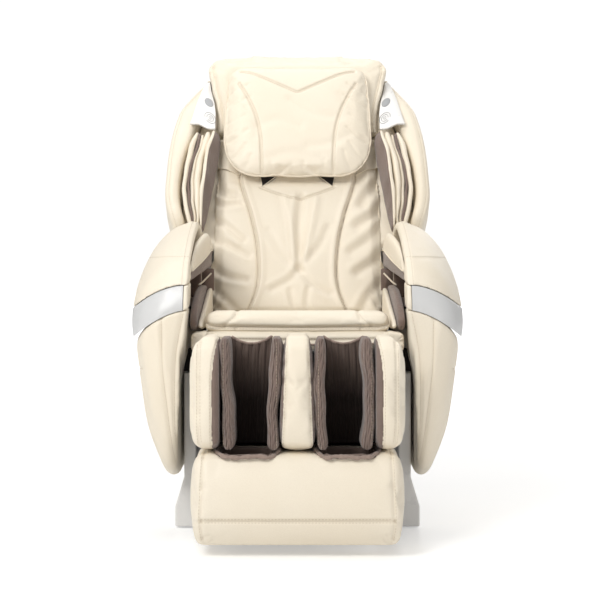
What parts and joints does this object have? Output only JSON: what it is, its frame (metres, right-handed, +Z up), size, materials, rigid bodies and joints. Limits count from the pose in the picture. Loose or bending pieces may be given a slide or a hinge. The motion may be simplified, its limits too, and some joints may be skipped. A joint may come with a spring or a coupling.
{
  "type": "massage chair",
  "caption": "Full-body massage chair with reclining winged backrest, head pillow, hooded arms, calf and foot massage wells and a wide-footed base.",
  "frame": {"origin": "on the floor, under the middle of the upright chair's bounding box", "axes": "+Z up, the sitter faces -Y, +X to the right seen from the front"},
  "size_m": [0.8282, 1.34, 1.276],
  "materials": {
    "cream_leather": "fine-grained cream upholstery leather, satin",
    "taupe_fabric": "woven taupe-brown airbag cloth",
    "white_plastic": "gloss white moulded plastic",
    "silver_trim": "silver-grey lacquered plastic",
    "black_plastic": "fine-textured black plastic",
    "painted_steel": "black powder-coated steel",
    "chromed_steel": "hard-chromed steel rods",
    "rubber": "matt black rubber"
  },
  "bodies": {
    "base": {"base_frame": "painted_steel", "base_cover_left": "white_plastic", "base_cover_right": "white_plastic", "rear_cover": "black_plastic", "foot_pad_front_left": "rubber", "foot_pad_front_right": "rubber", "foot_pad_rear_left": "rubber", "foot_pad_rear_right": "rubber", "power_and_air_unit": "black_plastic"},
    "wheel_left": {"transport_wheel_left": "rubber"},
    "wheel_right": {"transport_wheel_right": "rubber"},
    "switch": {"power_switch": "black_plastic"},
    "seat": {"seat_frame": "painted_steel", "seat_cushion": "cream_leather", "seat_skirt": "cream_leather", "arm_upper_left": "cream_leather", "arm_upper_right": "cream_leather", "arm_band_left": "silver_trim", "arm_band_right": "silver_trim", "arm_lower_left": "cream_leather", "arm_lower_right": "cream_leather", "forearm_pad_left": "taupe_fabric", "forearm_pad_right": "taupe_fabric", "forearm_airbag_left": "taupe_fabric", "forearm_airbag_right": "taupe_fabric", "hip_pad_left": "taupe_fabric", "hip_pad_right": "taupe_fabric"},
    "backrest": {"back_frame": "painted_steel", "back_shell": "white_plastic", "wing_left": "cream_leather", "wing_right": "cream_leather", "speaker_panel_left": "white_plastic", "speaker_panel_right": "white_plastic", "shoulder_airbag_outer_left": "taupe_fabric", "shoulder_airbag_outer_right": "taupe_fabric", "shoulder_airbag_inner_left": "taupe_fabric", "shoulder_airbag_inner_right": "taupe_fabric", "back_cushion": "cream_leather", "head_cover": "cream_leather"},
    "pillow": {"head_pillow": "cream_leather"},
    "carriage": {"massage_carriage": "black_plastic"},
    "head_left": {"massage_head_left": "chromed_steel"},
    "head_right": {"massage_head_right": "chromed_steel"},
    "screw": {"lead_screw": "chromed_steel"},
    "leg_rest": {"leg_frame": "painted_steel", "calf_housing": "black_plastic", "calf_pad_left": "cream_leather", "calf_pad_right": "cream_leather", "calf_pad_middle": "cream_leather", "calf_airbag_inner_left": "taupe_fabric", "calf_airbag_inner_right": "taupe_fabric", "calf_airbag_outer_left": "taupe_fabric", "calf_airbag_outer_right": "taupe_fabric"},
    "foot_unit": {"foot_shell": "cream_leather", "foot_sole_left": "taupe_fabric", "foot_sole_right": "taupe_fabric"},
    "back_drive_tube": {"back_actuator_tube": "black_plastic"},
    "back_drive_rod": {"back_actuator_rod": "chromed_steel"},
    "leg_drive_tube": {"leg_actuator_tube": "black_plastic"},
    "leg_drive_rod": {"leg_actuator_rod": "chromed_steel"}
  },
  "joints": [
    {"name": "seat_tilt", "type": "hinge", "parent": "base", "child": "seat", "pos_m": [0, 0.06, 0.33], "axis": [-1, 0, 0], "range_deg": [0, 15]},
    {"name": "back_recline", "type": "hinge", "parent": "seat", "child": "backrest", "pos_m": [0, 0.14, 0.42], "axis": [-1, 0, 0], "range_deg": [0, 45]},
    {"name": "pillow_lift", "type": "hinge", "parent": "backrest", "child": "pillow", "pos_m": [0, 0.38692, 1.23193], "axis": [-1, 0, 0], "range_deg": [0, 70]},
    {"name": "carriage_travel", "type": "slide", "parent": "backrest", "child": "carriage", "axis": [0, 0.4384, 0.8988], "range_m": [-0.2, 0.34]},
    {"name": "screw_spin", "type": "hinge", "parent": "backrest", "child": "screw", "pos_m": [0, 0.14, 0.42], "axis": [0, 0.4384, 0.8988], "continuous": true},
    {"name": "knead_left", "type": "hinge", "parent": "carriage", "child": "head_left", "pos_m": [-0.05, 0.25647, 0.76373], "axis": [1, 0, 0], "range_deg": [-5, 5]},
    {"name": "knead_right", "type": "hinge", "parent": "carriage", "child": "head_right", "pos_m": [0.05, 0.25647, 0.76373], "axis": [1, 0, 0], "range_deg": [-5, 5]},
    {"name": "leg_lift", "type": "hinge", "parent": "seat", "child": "leg_rest", "pos_m": [0, -0.44, 0.43], "axis": [-1, 0, 0], "range_deg": [0, 80]},
    {"name": "foot_extend", "type": "slide", "parent": "leg_rest", "child": "foot_unit", "axis": [0, 0, -1], "range_m": [0, 0.12]},
    {"name": "wheel_spin_left", "type": "hinge", "parent": "base", "child": "wheel_left", "pos_m": [-0.176, 0.335, 0.045], "axis": [1, 0, 0], "continuous": true},
    {"name": "wheel_spin_right", "type": "hinge", "parent": "base", "child": "wheel_right", "pos_m": [0.176, 0.335, 0.045], "axis": [1, 0, 0], "continuous": true},
    {"name": "switch_rock", "type": "hinge", "parent": "base", "child": "switch", "pos_m": [0.12, 0.371, 0.155], "axis": [1, 0, 0], "range_deg": [0, 12]},
    {"name": "back_drive_swing", "type": "hinge", "parent": "seat", "child": "back_drive_tube", "pos_m": [0.045, -0.1, 0.345], "axis": [1, 0, 0], "range_deg": [0, 0.75]},
    {"name": "back_drive_stroke", "type": "slide", "parent": "back_drive_tube", "child": "back_drive_rod", "axis": [0, 0.9954, -0.0957], "range_m": [-0.0776, 0]},
    {"name": "leg_drive_swing", "type": "hinge", "parent": "seat", "child": "leg_drive_tube", "pos_m": [-0.085, -0.12, 0.3], "axis": [-1, 0, 0], "range_deg": [0, 7.8]},
    {"name": "leg_drive_stroke", "type": "slide", "parent": "leg_drive_tube", "child": "leg_drive_rod", "axis": [0, -0.9994, 0.0333], "range_m": [0, 0.1495]}
  ],
  "couplings": [
    {"joint": "screw_spin", "follows": "carriage_travel", "rad_per_m": -314.16},
    {"joint": "knead_right", "follows": "knead_left", "ratio": -1},
    {"joint": "back_drive_swing", "follows": "back_recline", "ratio": 0.01612},
    {"joint": "back_drive_stroke", "follows": "back_recline", "m_per_rad": -0.098681},
    {"joint": "leg_drive_swing", "follows": "leg_lift", "ratio": 0.0972},
    {"joint": "leg_drive_stroke", "follows": "leg_lift", "m_per_rad": 0.10697}
  ]
}
